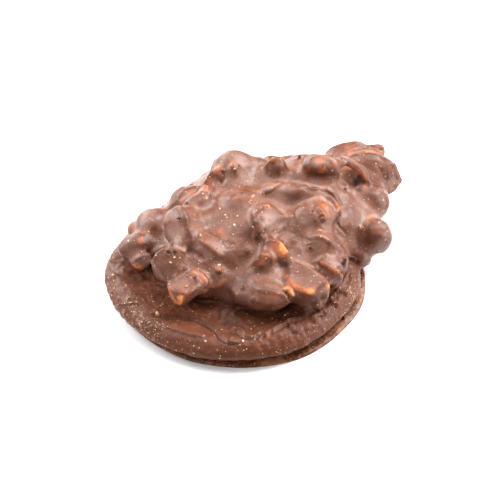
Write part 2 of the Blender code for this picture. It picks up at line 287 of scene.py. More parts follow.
# thin curved flakes: pairs of points along the crest and the lower lip
curls = {
    "shell": [
        ((333, 158, 16.4), (336, 162, 16.0)), ((343, 157, 16.6), (346, 165, 15.4)),
        ((353, 161, 16.2), (355, 170, 14.6)), ((362, 167, 15.2), (361, 176, 13.4)),
        ((369, 175, 13.6), (364, 183, 12.1)), ((370, 185, 12.0), (366, 190, 11.0)),
    ],
}
curlThickness = 1.1

# places where the coat didn't run in
hollows = {
    "belowShell": ((15.4, -7, 13.4), (2.8, 1.2, 1.7), -55, 2.0, 16),
}

coat = dict(
    voxel=0.24,
    skinVoxel=0.19,
    skinRounding=2,
    fillet=1.2,
    crease=0.85,  # fillet round the proud pieces
    rounding=5,
    wornRounding=16,
    root=3.5,  # how far the flat pieces reach down under their middle
    allowance=0.28,
    wornAllowance=0.5,  # what the rounding takes off their corners
    subdivisions=5,
    uneven=(0.1, 1.3),  # broad unevenness of a block, as a share of its size, and its scale
    knobbly=(0.035, 4),  # finer unevenness
    triangles=196000,
    weld=0.0001,  # points closer than this are one
)

buried = 2.0  # how far the patty and its foot reach below the base before it is cut

patty = dict(
    centre=(-8.8, -2.0),
    footCentre=(-7.8, -3.1),
    radius=23.4,
    ovalTurn=-40,
    ovalLong=1.035,
    ovalShort=0.985,
    steps=180,
    dentDepth=2.3,
    dentAngle=103,
    dentSpread=44,
    outlineWave=(0.35, 2.2),  # height and scale
    topWave=(0.5, 6),  # height and size
    topFrom=2,  # the top's waves begin here and are full this much above it
    section=[
        (0, 4.4), (13, 4.4), (16, 4.35), (18.4, 4.6), (20, 5.0), (21, 5.0), (22, 4.6), (22.9, 3.8),
        (23.4, 2.9), (23.3, 2.3), (22.8, 1.8), (21.6, 1.4), (20.6, 1.1), (20.4, 0.8),
        (20.4, -buried), (0, -buried),
    ],
    footSection=[(0, 0.6), (21.5, 0.6), (22.4, 0.55), (22.9, 0.3), (22.8, -buried), (0, -buried)],
)


def addLump(bm, at, size, turn, square=2.0, dip=0):
    made = bmesh.ops.create_icosphere(bm, subdivisions=coat["subdivisions"], radius=1)
    turned = Euler((0, math.radians(dip), math.radians(turn))).to_matrix()
    seed = Vector(at)
    for vert in made["verts"]:
        reach = sum(abs(c) ** square for c in vert.co) ** (-1 / square)
        for share, scale in (coat["uneven"], coat["knobbly"]):
            reach *= 1 + share * noise.noise(vert.co * scale + seed)
        vert.co = seed + turned @ Vector([c * reach * half for c, half in zip(vert.co, size)])


def fromPicture(x, y, height):
    # the point at this height that the picture shows at x, y
    way = rayThrough(x, y)
    return viewPoint + way * ((height - viewPoint.z) / way.z)


def addHull(bm, corners):
    hull = bmesh.new()
    for corner in corners:
        hull.verts.new(corner)
    bmesh.ops.convex_hull(hull, input=hull.verts)
    loose = [vert for vert in hull.verts if not vert.link_faces]
    bmesh.ops.delete(hull, geom=loose, context="VERTS")
    bmesh.ops.recalc_face_normals(hull, faces=hull.faces)
    mesh = bpy.data.meshes.new("hull")
    hull.to_mesh(mesh)
    hull.free()
    bm.from_mesh(mesh)
    bpy.data.meshes.remove(mesh)


def hullsObject(name, hulls, rounding):
    bm = bmesh.new()
    for corners in hulls:
        addHull(bm, corners)
    obj = meshObject(name, bm)
    voxelRemesh(obj, coat["voxel"])
    relax(obj, rounding)
    applyModifiers(obj)
    return obj


def rootedHulls(table, allowance):
    for points in table.values():
        corners = [fromPicture(*point) for point in points]
        centre = sum(corners, Vector()) / len(corners)
        root = centre - Vector((0, 0, coat["root"]))
        yield [*(corner + (corner - centre).normalized() * allowance for corner in corners), root]


def curlHulls():
    inward = -viewBack * curlThickness
    for pairs in curls.values():
        for ends in zip(pairs, pairs[1:]):
            corners = [fromPicture(*point) for pair in ends for point in pair]
            yield corners + [corner + inward for corner in corners]


def lumpsObject(name, table):
    bm = bmesh.new()
    for lump in table.values():
        addLump(bm, *lump)
    return meshObject(name, bm)


def press(co):
    # the dent at the back and the waves of the patty's outline and top
    radius, angle = co.xy.length, math.degrees(math.atan2(co.y, co.x))
    if radius < 1:
        return co
    outward = Vector((co.x, co.y, 0)) / radius
    share = min(radius / patty["radius"], 1) ** 3
    off = abs((angle - patty["dentAngle"] + 180) % 360 - 180) / patty["dentSpread"]
    dent = patty["dentDepth"] * math.cos(min(off, 1) * math.pi / 2) ** 2
    (wave, scale), (height, size), ramp = patty["outlineWave"], patty["topWave"], patty["topFrom"]
    wave *= noise.noise(outward * scale)
    rise = height * noise.noise(co / size) * max(min(co.z - ramp, ramp), 0) / ramp
    return co + outward * (wave - dent) * share + Vector((0, 0, rise))


def turnedObject(name, section, centre):
    bm = bmesh.new()
    verts = [bm.verts.new((radius, 0, height)) for radius, height in section]
    edges = [bm.edges.new(pair) for pair in zip(verts, verts[1:])]
    bmesh.ops.spin(bm, geom=verts + edges, cent=(0, 0, 0), axis=(0, 0, 1),
                   angle=math.tau, steps=patty["steps"], use_merge=True)
    bmesh.ops.remove_doubles(bm, verts=bm.verts, dist=coat["weld"])
    bmesh.ops.recalc_face_normals(bm, faces=bm.faces)
    bmesh.ops.scale(bm, vec=(patty["ovalLong"], patty["ovalShort"], 1), verts=bm.verts)
    turned = Euler((0, 0, math.radians(patty["ovalTurn"]))).to_matrix()
    bmesh.ops.rotate(bm, matrix=turned, verts=bm.verts)
    for vert in bm.verts:
        vert.co = press(vert.co)
    bmesh.ops.translate(bm, vec=(*centre, 0), verts=bm.verts)
    return meshObject(name, bm)


def fuse(obj, fillet):
    # one skin over the lumps, with the valleys between them rounded
    voxelRemesh(obj, coat["voxel"])
    grow(obj, fillet)
    voxelRemesh(obj, coat["voxel"])
    relax(obj, 1)
    grow(obj, -fillet)
    relax(obj, 1)
    applyModifiers(obj)


def biteOut(obj, table):
    cutter = lumpsObject("hollows", table)
    voxelRemesh(obj, coat["voxel"])
    applyModifiers(obj)
    bite = obj.modifiers.new("bite", "BOOLEAN")
    bite.operation = "DIFFERENCE"
    bite.solver = "MANIFOLD"
    bite.object = cutter
    applyModifiers(obj)
    bpy.data.objects.remove(cutter)


def makeNutMass():
    coated = lumpsObject("coated", caramel | nutPieces)
    fuse(coated, coat["fillet"])
    proud = lumpsObject("proud", proudPieces)
    flatHulls = [*rootedHulls(flatPieces, coat["allowance"]), *curlHulls()]
    flat = hullsObject("flat", flatHulls, coat["rounding"])
    worn = hullsObject("worn", rootedHulls(wornPieces, coat["wornAllowance"]), coat["wornRounding"])
    obj = joinObjects("nutMass", [coated, proud, flat, worn])
    biteOut(obj, hollows)
    fuse(obj, coat["crease"])
    return obj


def joinObjects(name, objects):
    bm = bmesh.new()
    for obj in objects:
        bm.from_mesh(obj.data)
        bpy.data.objects.remove(obj)
    return meshObject(name, bm)


def makeForm():
    pattyObject = turnedObject("patty", patty["section"], patty["centre"])
    foot = turnedObject("foot", patty["footSection"], patty["footCentre"])
    obj = joinObjects("chocolate", [makeNutMass(), pattyObject, foot])
    voxelRemesh(obj, coat["skinVoxel"])
    relax(obj, coat["skinRounding"])
    applyModifiers(obj)
    print("form:", len(obj.data.vertices), "points")
    return obj


makeCamera()
chocolate = makeForm()


# Sculpting

# each mark is placed by points of the 500 by 500 picture, and pressed into what they see
ridges = {  # raised lines: points, width, height, and how strongly the nut shows along them
    "longRidge": (
        [(262, 195), (268, 190), (277, 186), (288, 183), (298, 184), (310, 188), (325, 190), (335, 196),
         (341, 208)], 0.8, 0.34, 0.15,
    ),
    "longRidgeSecond": ([(314, 188), (324, 189), (333, 194)], 0.51, 0.12),
    "noseEdge": ([(256, 218), (258, 225), (258, 232), (256, 240)], 1.1, 0.45, 0.2),
    "noseRim": ([(275, 205), (283, 211), (286, 218), (285, 226), (278, 230), (273, 236)], 0.9, 0.16),
    "standingCrest": (
        [(308, 204), (313, 200), (319, 199), (325, 203), (329, 209), (332, 217), (334, 226)],
        1.02, 0.2, 0.25,
    ),
    "standingInner": ([(312, 204), (318, 208), (323, 214), (325, 223)], 1.0, 0.6, 0.35),
    "flakeCrest": (
        [(172, 210), (178, 207), (183, 211), (185, 219), (187, 230), (189, 240)], 1.02, 0.24, 0.2,
    ),
    "fingerCrest": ([(178, 205), (186, 198), (193, 193), (203, 191), (212, 195)], 0.85, 0.2, 0.25),
    "bumpCrest": ([(200, 237), (207, 245), (216, 252), (223, 258)], 0.85, 0.28, 0.35),
    "coneCrest": ([(272, 257), (266, 256), (262, 259), (261, 268)], 0.8, 0.3, 0.45),
    "wedgeCrest": ([(264, 238), (275, 237), (284, 243), (290, 251)], 0.85, 0.2, 0.25),
    "skirtCrest": ([(318, 261), (327, 266), (337, 273), (342, 276)], 0.85, 0.24, 0.35),
    "rightBumpCrest": ([(306, 240), (313, 237), (320, 236), (328, 241), (333, 245)], 0.85, 0.24, 0.2),
    "slabFront": (
        [(286, 275), (289, 282), (297, 288), (305, 291), (312, 292), (317, 289)], 0.85, 0.24, 0.82,
    ),
    "slabSide": ([(304, 265), (316, 273), (328, 282), (331, 289)], 0.85, 0.2, 0.2),
    "shardEdge": ([(284, 286), (290, 290), (294, 297)], 0.68, 0.4, 1.0),
    "fingerTop": ([(256, 290), (266, 291), (278, 294), (290, 300)], 1.02, 0.2, 0.2),
    "boxFront": ([(167, 284), (171, 289), (177, 292), (184, 294), (190, 293), (198, 288)], 0.77, 0.2, 0.3),
    "boxLeft": ([(168, 285), (171, 295), (177, 306)], 0.68, 0.15, 0.7),
    "boxArc": ([(190, 271), (199, 273), (205, 279), (208, 286)], 1.02, 0.36, 0.4),
    "lobeRim": ([(152, 259), (155, 252), (162, 247), (170, 246), (180, 248), (188, 253)], 1.02, 0.28, 0.15),
    "hotTip": ([(181, 294), (181, 300), (179, 306)], 0.85, 0.24, 1.0),
    "stickEdge": ([(133, 263), (137, 268), (144, 267)], 0.68, 0.16, 0.9),
    "faintCrest": ([(228, 198), (237, 194), (245, 195)], 0.85, 0.16),
    "coneTop": ([(270, 163), (277, 158), (282, 162)], 0.85, 0.2, 0.35),
    "oblongCrest": (
        [(303, 165), (310, 159), (319, 157), (329, 158), (337, 165), (342, 173)], 1.19, 0.2, 0.3,
    ),
    "shellOuter": (
        [(333, 158), (342, 157), (352, 161), (362, 167), (368, 173), (370, 180), (369, 188)],
        0.85, 0.24, 0.15,
    ),
    "shellInner": ([(347, 163), (355, 169), (363, 175), (365, 184)], 0.68, 0.24, 0.5),
    "tailSecond": ([(346, 155), (356, 147), (367, 144), (379, 143), (382, 150)], 0.85, 0.24, 0.25),
    "tailThird": (
        [(346, 158), (354, 153), (365, 151), (376, 153), (385, 158), (393, 163)], 1.02, 0.28, 0.2,
    ),
    "tailSide": ([(392, 162), (395, 171), (400, 179)], 0.85, 0.2),
    "arcCrest": ([(370, 183), (378, 188), (385, 195), (388, 203), (385, 211)], 0.85, 0.24, 0.15),
    "ballArc": ([(364, 227), (368, 222), (375, 220), (382, 222)], 0.85, 0.2, 0.3),
    "dripEdge": ([(346, 250), (343, 258), (342, 264), (339, 273)], 0.85, 0.24),
    "backPleatA": ([(165, 208), (174, 203), (180, 196), (186, 189)], 0.85, 0.16),
    "backPleatB": ([(176, 192), (184, 186), (192, 185)], 0.68, 0.16),
    "pleatA": ([(304, 306), (309, 314), (318, 321)], 1.2, 0.6),
    "pleatB": ([(314, 300), (320, 309), (329, 314)], 1.2, 0.62),
    "pleatC": ([(324, 294), (330, 301), (339, 305)], 1.1, 0.6),
    "pleatD": ([(333, 285), (340, 290), (348, 293)], 1.1, 0.52),
    "pleatE": ([(288, 316), (292, 324), (301, 330)], 1.3, 0.3),
    "coveEdge": ([(208, 287), (218, 286), (227, 281)], 0.85, 0.2, 0.35),
}

grooves = {  # sunk lines: points, width, depth
    "belowFlake": ([(164, 232), (167, 239), (172, 245), (179, 248), (187, 247)], 0.8, 0.36),
    "besideLobe": ([(185, 250), (193, 253), (200, 258), (204, 262)], 0.8, 0.32),
    "lobeToBox": ([(166, 281), (174, 279), (180, 275), (186, 271)], 0.8, 0.32),
    "boxSlot": ([(193, 276), (197, 283), (198, 288)], 0.8, 0.54),
    "fingerPit": ([(224, 240), (228, 244), (231, 248)], 1.1, 0.4),
    "besideHump": ([(223, 170), (223, 179), (219, 184)], 0.96, 0.36),
    "shardSlot": ([(284, 289), (288, 295), (292, 301)], 0.8, 0.54),
    "slabBack": ([(313, 262), (321, 270), (330, 280)], 0.8, 0.2),
    "besideDrip": ([(345, 258), (343, 266), (342, 274)], 0.96, 0.54),
    "belowRidgeEnd": ([(326, 197), (333, 204), (337, 211)], 1.0, 0.25),
    "belowOblong": ([(306, 174), (315, 178), (327, 178), (338, 176)], 0.96, 0.23),
    "crack": ([(336, 219), (338, 226), (342, 230), (347, 236)], 0.4, 0.14),
    "tailValleyA": ([(344, 157), (354, 150), (366, 147), (380, 149)], 0.96, 0.32),
    "tailValleyB": ([(372, 170), (381, 178), (390, 186)], 1.28, 0.27),
    "belowNose": ([(286, 228), (279, 233), (274, 239)], 0.8, 0.27),
    "belowStanding": ([(294, 229), (300, 238), (308, 240), (317, 236)], 0.8, 0.27),
}

folds = {  # steps: points with the high side on the left of the way along them, width, height
    "lipLeft": (
        [(148, 313), (165, 316), (180, 318), (196, 320), (210, 326), (221, 337), (231, 343), (241, 343)],
        2.72, 0.74,
    ),
    "lipMiddle": ([(234, 330), (245, 337), (255, 338), (264, 331)], 2.04, 0.56),
    "lipRight": ([(258, 339), (268, 334), (280, 328), (292, 322), (303, 318)], 2.6, 0.6),
    "lipFar": ([(303, 318), (318, 309), (330, 300), (340, 290), (346, 280), (349, 268)], 2.6, 0.5),
    "creaseA": ([(285, 322), (291, 327), (296, 334)], 1.9, 0.4),
    "creaseB": ([(295, 319), (297, 326), (296, 334)], 1.6, 0.26),
    "creaseC": ([(309, 311), (315, 316), (323, 316)], 1.9, 0.4),
    "leftScuffA": ([(126, 300), (134, 299), (141, 299), (145, 302)], 1.36, 0.36),
    "leftScuffB": ([(118, 305), (127, 304), (137, 304), (144, 306)], 1.36, 0.3),
    "leftBand": ([(112, 272), (122, 277), (134, 281), (147, 281)], 2.72, 0.36),
    "rimStepA": ([(160, 325), (175, 331), (190, 335), (205, 338)], 2.38, 0.3),
    "padTop": ([(357, 258), (350, 256), (343, 258)], 1.19, 0.36),
}

dents = {  # broad hollows, or swellings where the depth is negative: point, radius, depth
    "slabTop": ((301, 278), 2.4, 0.35),
    "boxTop": ((182, 283), 2.0, 0.2),
    "leftCorner": ((116, 262), 3.4, 0.8),
    "coneFace": ((256, 233), 2.0, 0.4),
    "flakeFace": ((175, 233), 2.2, 0.4),
    "standingFace": ((303, 222), 2.6, 0.4),
    "smoothPatch": ((231, 312), 2.6, -0.3),
    "thumbPad": ((350, 266), 1.5, -0.4),
    "basin": ((226, 335), 2.6, 0.3),
    "middleHollow": ((240, 265), 3.0, 0.25),
    "plateauDip": ((222, 222), 3.4, 0.2),
    "terraceDip": ((345, 205), 3.4, 0.25),
}

bumps = {  # small lumps under the coat: point, radius, height
    "pinkCapsule": ((219, 271), 0.9, 0.5),
    "lobeDot": ((185, 269), 0.7, 0.4),
    "crumbA": ((200, 236), 0.6, 0.3),
    "crumbB": ((243, 288), 0.8, 0.3),
    "crumbC": ((254, 300), 0.9, 0.3),
    "crumbD": ((262, 219), 0.9, 0.3),
    "crumbE": ((382, 168), 1.0, 0.35),
    "crumbF": ((391, 174), 1.0, 0.4),
    "crumbG": ((204, 292), 0.8, 0.3),
    "crownA": ((233, 166), 0.9, 0.4),
    "tinyOrange": ((206, 188), 1.0, 0.5),
    "pebble": ((360, 228), 0.7, 0.5),
    "terraceEdge": ((360, 188), 1.2, 0.35),
    "dimpleRidge": ((205, 322), 0.7, 0.4),
    "lipDot": ((268, 336), 0.6, 0.4),
    "fingerDot": ((258, 314), 0.6, 0.3),
    "topDot": ((268, 206), 0.6, 0.35),
    "slantA": ((285, 262), 1.2, 0.35),
    "slantB": ((300, 250), 1.4, 0.35),
    "slantC": ((322, 228), 0.8, 0.25),
    "lowA": ((232, 262), 1.6, 0.3),
    "lowB": ((247, 252), 1.5, 0.25),
}

pits = {  # open bubbles with a raised rim: point, radius, depth
    "flakeRing": ((179.7, 218.7), 0.42, 0.45),
    "flakeRingSmall": ((186.4, 230.6), 0.3, 0.3),
    "lobePitA": ((168.5, 253), 0.45, 0.3),
    "lobePitB": ((174.5, 253.4), 0.5, 0.3),
    "humpPit": ((238.8, 166), 0.35, 0.35),
    "terracePit": ((344.5, 189.7), 0.35, 0.4),
    "nosePit": ((261.5, 220), 0.3, 0.16),
    "nutPitA": ((312.3, 212), 0.4, 0.28),
    "nutPitB": ((321.7, 216.5), 0.4, 0.25),
    "fingerEndPit": ((187, 204), 0.45, 0.3),
    "rimBubble": ((341.5, 318.6), 0.6, 0.4),
    "crackPit": ((310, 249), 0.3, 0.3),
}

strokes = dict(
    step=2.0,  # between the points of a line, in the picture
    maxJump=2.5,
    fade=0.2,  # share of a line over which each end fades
    foldFade=0.15,
    foldCurve=1.5,
    foldFoot=(0.5, 0.45),  # how deep and how wide the low side is
    pitReach=1.8,  # how far a pit and its rim reach, in radii of the pit
    pitFloor=0.4,
    pitRim=(0.35, 1.2, 0.25),  # height as a share of the depth, place and width
    normalTimes=3,
)

relief = dict(
    waves=[(0.14, 3.6), (0.028, 1.4), (0.012, 0.5)],  # height and size, broadest first
    seedSteps=(7.3, 3.1, 5.7),
    pattyTop=5.6,
    pattyRough=0.17,
    pattyRoughSize=0.7,  # as a share of the middle waves' size
    aboveBase=(0.1, 0.8),
    behindSeed=11,
    behindBumps=50,
    behindFacing=0.15,
    behindFrom=2,
    behindRadius=(0.5, 1.3),
    behindHeight=(0.1, 0.3),
)


def smoothLine(points):
    # a Catmull-Rom line through the points
    ends = [points[0], *points, points[-1]]
    line = []
    for a, b, c, d in zip(ends, ends[1:], ends[2:], ends[3:]):
        a, b, c, d = (np.array(p, float) for p in (a, b, c, d))
        count = max(2, int(np.linalg.norm(c - b) / strokes["step"]))
        for t in np.arange(count) / count:
            square = (2 * a - 5 * b + 4 * c - d) * t ** 2
            cube = (3 * b - a - 3 * c + d) * t ** 3
            line.append(0.5 * (2 * b + (c - a) * t + square + cube))
    return [*line, np.array(points[-1], float)]


def faded(along, share):
    return smoothStep(0, share, along) * smoothStep(0, share, 1 - along)


class Surface:
    # the chocolate's points while they are sculpted and painted
    def __init__(self, obj):
        self.mesh = obj.data
        count = len(self.mesh.vertices)
        self.co = np.zeros(count * 3)
        self.mesh.vertices.foreach_get("co", self.co)
        self.co = self.co.reshape(-1, 3)
        edges = np.zeros(len(self.mesh.edges) * 2, int)
        self.mesh.edges.foreach_get("vertices", edges)
        self.edges = edges.reshape(-1, 2)
        self.refresh()

    def refresh(self):
        self.mesh.vertices.foreach_set("co", self.co.ravel())
        self.mesh.update()
        normals = np.zeros(self.co.size)
        self.mesh.vertex_normals.foreach_get("vector", normals)
        self.normals = self.spread(normals.reshape(-1, 3), strokes["normalTimes"])
        self.normals /= np.linalg.norm(self.normals, axis=1)[:, None]
        bm = bmesh.new()
        bm.from_mesh(self.mesh)
        self.tree = BVHTree.FromBMesh(bm)
        bm.free()

    def spread(self, values, times):
        # averages each point's values with its neighbours'
        a, b = self.edges.T
        count = len(self.co)
        ends = np.bincount(a, minlength=count) + np.bincount(b, minlength=count)
        for _ in range(times):
            total = np.stack([
                np.bincount(a, column[b], count) + np.bincount(b, column[a], count) for column in values.T
            ], 1)
            values = 0.5 * values + 0.5 * total / ends[:, None]
        return values

    def seen(self, x, y):
        hit, normal, _, _ = self.tree.ray_cast(viewPoint, rayThrough(x, y))
        return (hit, normal) if hit else None

    def pathOn(self, points):
        # the points dropped on the surface, cut where the line would jump to another lump
        runs, run = [], []
        for x, y in smoothLine(points):
            found = self.seen(x, y)
            if found and run and (found[0] - run[-1][0]).length > strokes["maxJump"]:
                runs, run = [*runs, run], []
            if found:
                run.append(found)
        return [r for r in [*runs, run] if len(r) > 1]

    def near(self, path, width):
        # points near a path: their numbers, distance, which side they are on, and how far along
        spots = np.array([hit for hit, _ in path])
        facing = np.array([normal for _, normal in path])
        inside = ((self.co > spots.min(0) - width) & (self.co < spots.max(0) + width)).all(1)
        picked = np.where(inside)[0]
        co = self.co[picked]
        best = np.full(len(picked), 1e9)
        side = np.zeros(len(picked))
        along = np.zeros(len(picked))
        for i, (a, b) in enumerate(zip(spots, spots[1:])):
            way = b - a
            share = np.clip((co - a) @ way / max(way @ way, 1e-9), 0, 1)
            off = co - a - share[:, None] * way
            distance = np.linalg.norm(off, axis=1)
            closer = distance < best
            best[closer] = distance[closer]
            side[closer] = np.sign(off @ np.cross(facing[i], way))[closer]
            along[closer] = ((i + share) / (len(spots) - 1))[closer]
        agree = self.normals[picked] @ facing.mean(0) > 0
        keep = (best < width) & agree
        return picked[keep], best[keep], side[keep], along[keep]

    def push(self, picked, amount):
        self.co[picked] += self.normals[picked] * amount[:, None]

    def ridge(self, points, width, height):
        for path in self.pathOn(points):
            picked, distance, _, along = self.near(path, width)
            shape = (1 - (distance / width) ** 2) ** 2
            self.push(picked, height * faded(along, strokes["fade"]) * shape)

    def fold(self, points, width, height):
        for path in self.pathOn(points):
            picked, distance, side, along = self.near(path, width)
            depth, reach = strokes["foldFoot"]
            high = (1 - distance / width) ** strokes["foldCurve"]
            low = -depth * (1 - smoothStep(0, reach, distance / width))
            shape = np.where(side > 0, high, low)
            self.push(picked, height * faded(along, strokes["foldFade"]) * shape)

    def spot(self, point, radius):
        found = self.seen(*point)
        if not found:
            return np.array([], int), np.array([])
        return self.around(*found, radius)

    def around(self, centre, facing, radius):
        distance = np.linalg.norm(self.co - np.array(centre), axis=1) / radius
        picked = np.where((distance < 1) & (self.normals @ np.array(facing) > 0))[0]
        return picked, distance[picked]

    def dome(self, point, radius, height):
        picked, distance = self.spot(point, radius)
        self.push(picked, height * (1 - distance ** 2) ** 2)

    def pit(self, point, radius, depth):
        picked, distance = self.spot(point, radius * strokes["pitReach"])
        distance = distance * strokes["pitReach"]
        share, place, width = strokes["pitRim"]
        hole = -depth * (1 - smoothStep(strokes["pitFloor"], 1, distance))
        rim = share * depth * np.exp(-((distance - place) / width) ** 2)
        self.push(picked, hole + rim)


def noiseAt(co, size, seed):
    offset = Vector([seed * step for step in relief["seedSteps"]])
    return np.array([noise.noise(Vector(p) / size + offset) for p in co])


def addRelief(surface):
    co = surface.co
    wave = np.zeros(len(co))
    for seed, (height, size) in enumerate(relief["waves"], 1):
        wave += height * noiseAt(co, size, seed)
    onPatty = 1 - smoothStep(relief["pattyTop"] - 1, relief["pattyTop"], co[:, 2])
    size = relief["waves"][1][1] * relief["pattyRoughSize"]
    wave += relief["pattyRough"] * onPatty * noiseAt(co, size, len(relief["waves"]) + 1)
    surface.push(np.arange(len(co)), wave * smoothStep(*relief["aboveBase"], co[:, 2]))


def addBumpsBehind(surface):
    # where the picture doesn't see, small lumps lie at random
    rng = np.random.default_rng(relief["behindSeed"])
    away = surface.normals @ np.array(viewBack) < relief["behindFacing"]
    high = surface.co[:, 2] > relief["behindFrom"]
    picks = rng.choice(np.where(away & high)[0], relief["behindBumps"], replace=False)
    for pick in picks:
        radius = rng.uniform(*relief["behindRadius"])
        height = rng.uniform(*relief["behindHeight"])
        near, distance = surface.around(surface.co[pick].copy(), surface.normals[pick], radius)
        surface.push(near, height * (1 - distance ** 2) ** 2)


def sculpt(obj):
    surface = Surface(obj)
    for point, radius, depth in dents.values():
        surface.dome(point, radius, -depth)
    surface.refresh()
    for points, width, height in folds.values():
        surface.fold(points, width, height)
    surface.refresh()
    for points, width, height, *_ in ridges.values():
        surface.ridge(points, width, height)
    for points, width, depth in grooves.values():
        surface.ridge(points, width, -depth)
    for point, radius, height in bumps.values():
        surface.dome(point, radius, height)
    addBumpsBehind(surface)
    surface.refresh()
    addRelief(surface)
    for point, radius, depth in pits.values():
        surface.pit(point, radius, depth)
    surface.refresh()
    print("sculpted:", len(ridges) + len(grooves) + len(folds), "lines")


sculpt(chocolate)


def cutBase(obj):
    # below the base everything goes, and one flat face closes it
    bm = bmesh.new()
    bm.from_mesh(obj.data)
    geom = bm.verts[:] + bm.edges[:] + bm.faces[:]
    cut = bmesh.ops.bisect_plane(bm, geom=geom, dist=0.00001, plane_no=(0, 0, 1), clear_inner=True)
    rim = [edge for edge in cut["geom_cut"] if isinstance(edge, bmesh.types.BMEdge)]
    for edge in rim:
        for vert in edge.verts:
            vert.co.z = 0
    bmesh.ops.contextual_create(bm, geom=rim)
    bmesh.ops.triangulate(bm, faces=bm.faces)
    bm.to_mesh(obj.data)
    bm.free()


def thinOut(obj, triangles):
    have = sum(len(face.vertices) - 2 for face in obj.data.polygons)
    if have <= triangles:
        return
    modifier = obj.modifiers.new("thin out", "DECIMATE")
    modifier.ratio = triangles / have
    applyModifiers(obj)


def placeInFrame(obj):
    bm = bmesh.new()
    bm.from_mesh(obj.data)
    bmesh.ops.translate(bm, vec=-middle, verts=bm.verts)
    bmesh.ops.scale(bm, vec=(toMetres,) * 3, verts=bm.verts)
    bm.to_mesh(obj.data)
    bm.free()
    obj.data.shade_smooth()


cutBase(chocolate)
thinOut(chocolate, coat["triangles"])


# Painting: masks kept on the mesh, which the chocolate's finish reads

thinSpots = {  # point, radius, strength
    "wedgeFace": ((284, 247.5), 1.7, 1.25),
    "wedgeFaceLeft": ((276, 246), 1.5, 0.4),
    "wedgeTip": ((342, 276), 0.51, 0.72),
    "slabCorner": ((329, 285), 0.9, 1.0),
    "slabLip": ((311, 291.5), 0.9, 1.0),
    "slabStart": ((287, 276), 0.5, 0.9),
    "boxHot": ((180, 299), 0.8, 1.1),
    "boxRight": ((195, 275), 0.85, 0.28),
    "knobTop": ((142, 240), 0.94, 0.64),
    "knobBrow": ((131, 238), 0.85, 0.24),
    "stick": ((138, 266), 1, 0.56),
    "sideLobe": ((130, 227), 1.1, 0.48),
    "fingerEnd": ((207, 198), 0.59, 0.48),
    "smallBump": ((206, 187), 1.1, 0.56),
    "orangeFinger": ((217, 170), 1.0, 0.5),
    "orangeFingerLow": ((209, 180), 1, 0.48),
    "oblongA": ((308, 169), 0.8, 0.42),
    "oblongB": ((322, 170.5), 0.9, 0.42),
    "oblongC": ((316, 161), 1.4, 0.32),
    "nutBrow": ((316, 205), 1.1, 0.42),
    "nutEdge": ((324, 206), 1, 0.5),
    "nutSide": ((330, 214), 0.9, 0.4),
    "nutLow": ((319, 230), 0.51, 0.64),
    "nutBelly": ((304, 228), 1.7, 0.24),
    "ridgeEnd": ((338, 206), 0.94, 0.48),
    "topSpot": ((268, 206), 0.68, 0.72),
    "topFleck": ((253, 197), 0.42, 0.72),
    "domeSpot": ((236, 199), 1, 0.2),
    "midSpot": ((222, 232), 0.94, 0.4),
    "capsule": ((219, 269), 0.85, 0.4),
    "shellHook": ((366, 186), 0.68, 0.64),
    "tailCorner": ((381, 145), 1, 0.35),
    "tailBand": ((360, 148), 1.3, 0.2),
    "ballFront": ((379, 231), 1.7, 0.24),
    "ballSide": ((388, 234), 0.85, 0.2),
    "pebble": ((360, 229), 0.68, 0.56),
    "terraceSpot": ((352, 222), 0.7, 0.2),
    "fingerFront": ((272, 298), 2.2, 0.26),
    "fingerFrontLeft": ((260, 295), 1.8, 0.2),
    "lipSpot": ((268, 335), 0.68, 0.4),
    "frontSpot": ((203, 320), 0.51, 0.4),
    "crownA": ((232, 164), 1, 0.18),
    "conePoint": ((278, 160), 0.85, 0.4),
    "flakeLeft": ((167, 222), 0.77, 0.4),
    "tailDot": ((390, 175), 0.59, 0.24),
}

paintedHighlightLines = {  # painted highlights, thin pale lines that outline the pieces: points, width, strength
    "ridgeTop": (
        [(266, 191), (272, 187), (280, 183), (289, 181), (299, 182), (308, 184), (318, 187), (328, 189)],
        0.5, 0.5,
    ),
    "noseRim": ([(275, 204), (282, 210), (287, 218), (283, 226), (277, 231), (273, 236)], 0.5, 0.35),
    "flakeRim": ([(163, 231), (165, 238), (171, 245), (178, 248), (187, 247)], 0.4, 0.4),
    "flakeLeft": ([(172, 208), (167, 214), (164, 222), (163, 230)], 0.45, 0.45),
    "lobeRim": ([(152, 258), (155, 250), (162, 246), (170, 245), (178, 247), (186, 251)], 0.5, 0.55),
    "boxArc": ([(191, 270), (199, 274), (206, 281), (207, 287)], 0.45, 0.5),
    "ballRim": ([(364, 224), (368, 218), (374, 215.5), (382, 218), (388, 225), (391, 233)], 0.5, 0.55),
    "tailRim": ([(346, 157), (356, 152), (365, 150), (376, 152), (385, 157)], 0.45, 0.45),
    "shellRim": ([(333, 157), (342, 156), (352, 160), (362, 166), (369, 172)], 0.45, 0.5),
    "oblongRim": ([(303, 163), (309, 158), (318, 155), (329, 157), (337, 164)], 0.45, 0.35),
    "slabBack": ([(290, 258), (303, 264), (316, 272), (329, 282)], 0.45, 0.28),
    "rightBump": ([(305, 239), (313, 236), (321, 235), (330, 240)], 0.45, 0.35),
    "standingNut": ([(306, 203), (312, 199), (319, 197), (326, 201), (331, 209), (334, 217)], 0.45, 0.4),
    "backFinger": ([(178, 204), (186, 197), (193, 191), (204, 190), (213, 194)], 0.45, 0.35),
}

paintedLightSpots = {  # painted light on faces turned to the lamps: point, radius, strength
    "flakeFace": ((176, 232), 1.8, 0.5),
    "humpTop": ((234, 156), 2.6, 0.25),
    "shoulderTop": ((148, 216), 2.2, 0.2),
    "nutLeft": ((302, 224), 2.0, 0.4),
    "noseRight": ((268, 220), 1.5, 0.3),
    "ridgeFace": ((284, 194), 2.2, 0.3),
    "coneSide": ((279, 165), 1.0, 0.3),
    "oblongTop": ((317, 163), 1.1, 0.35),
}

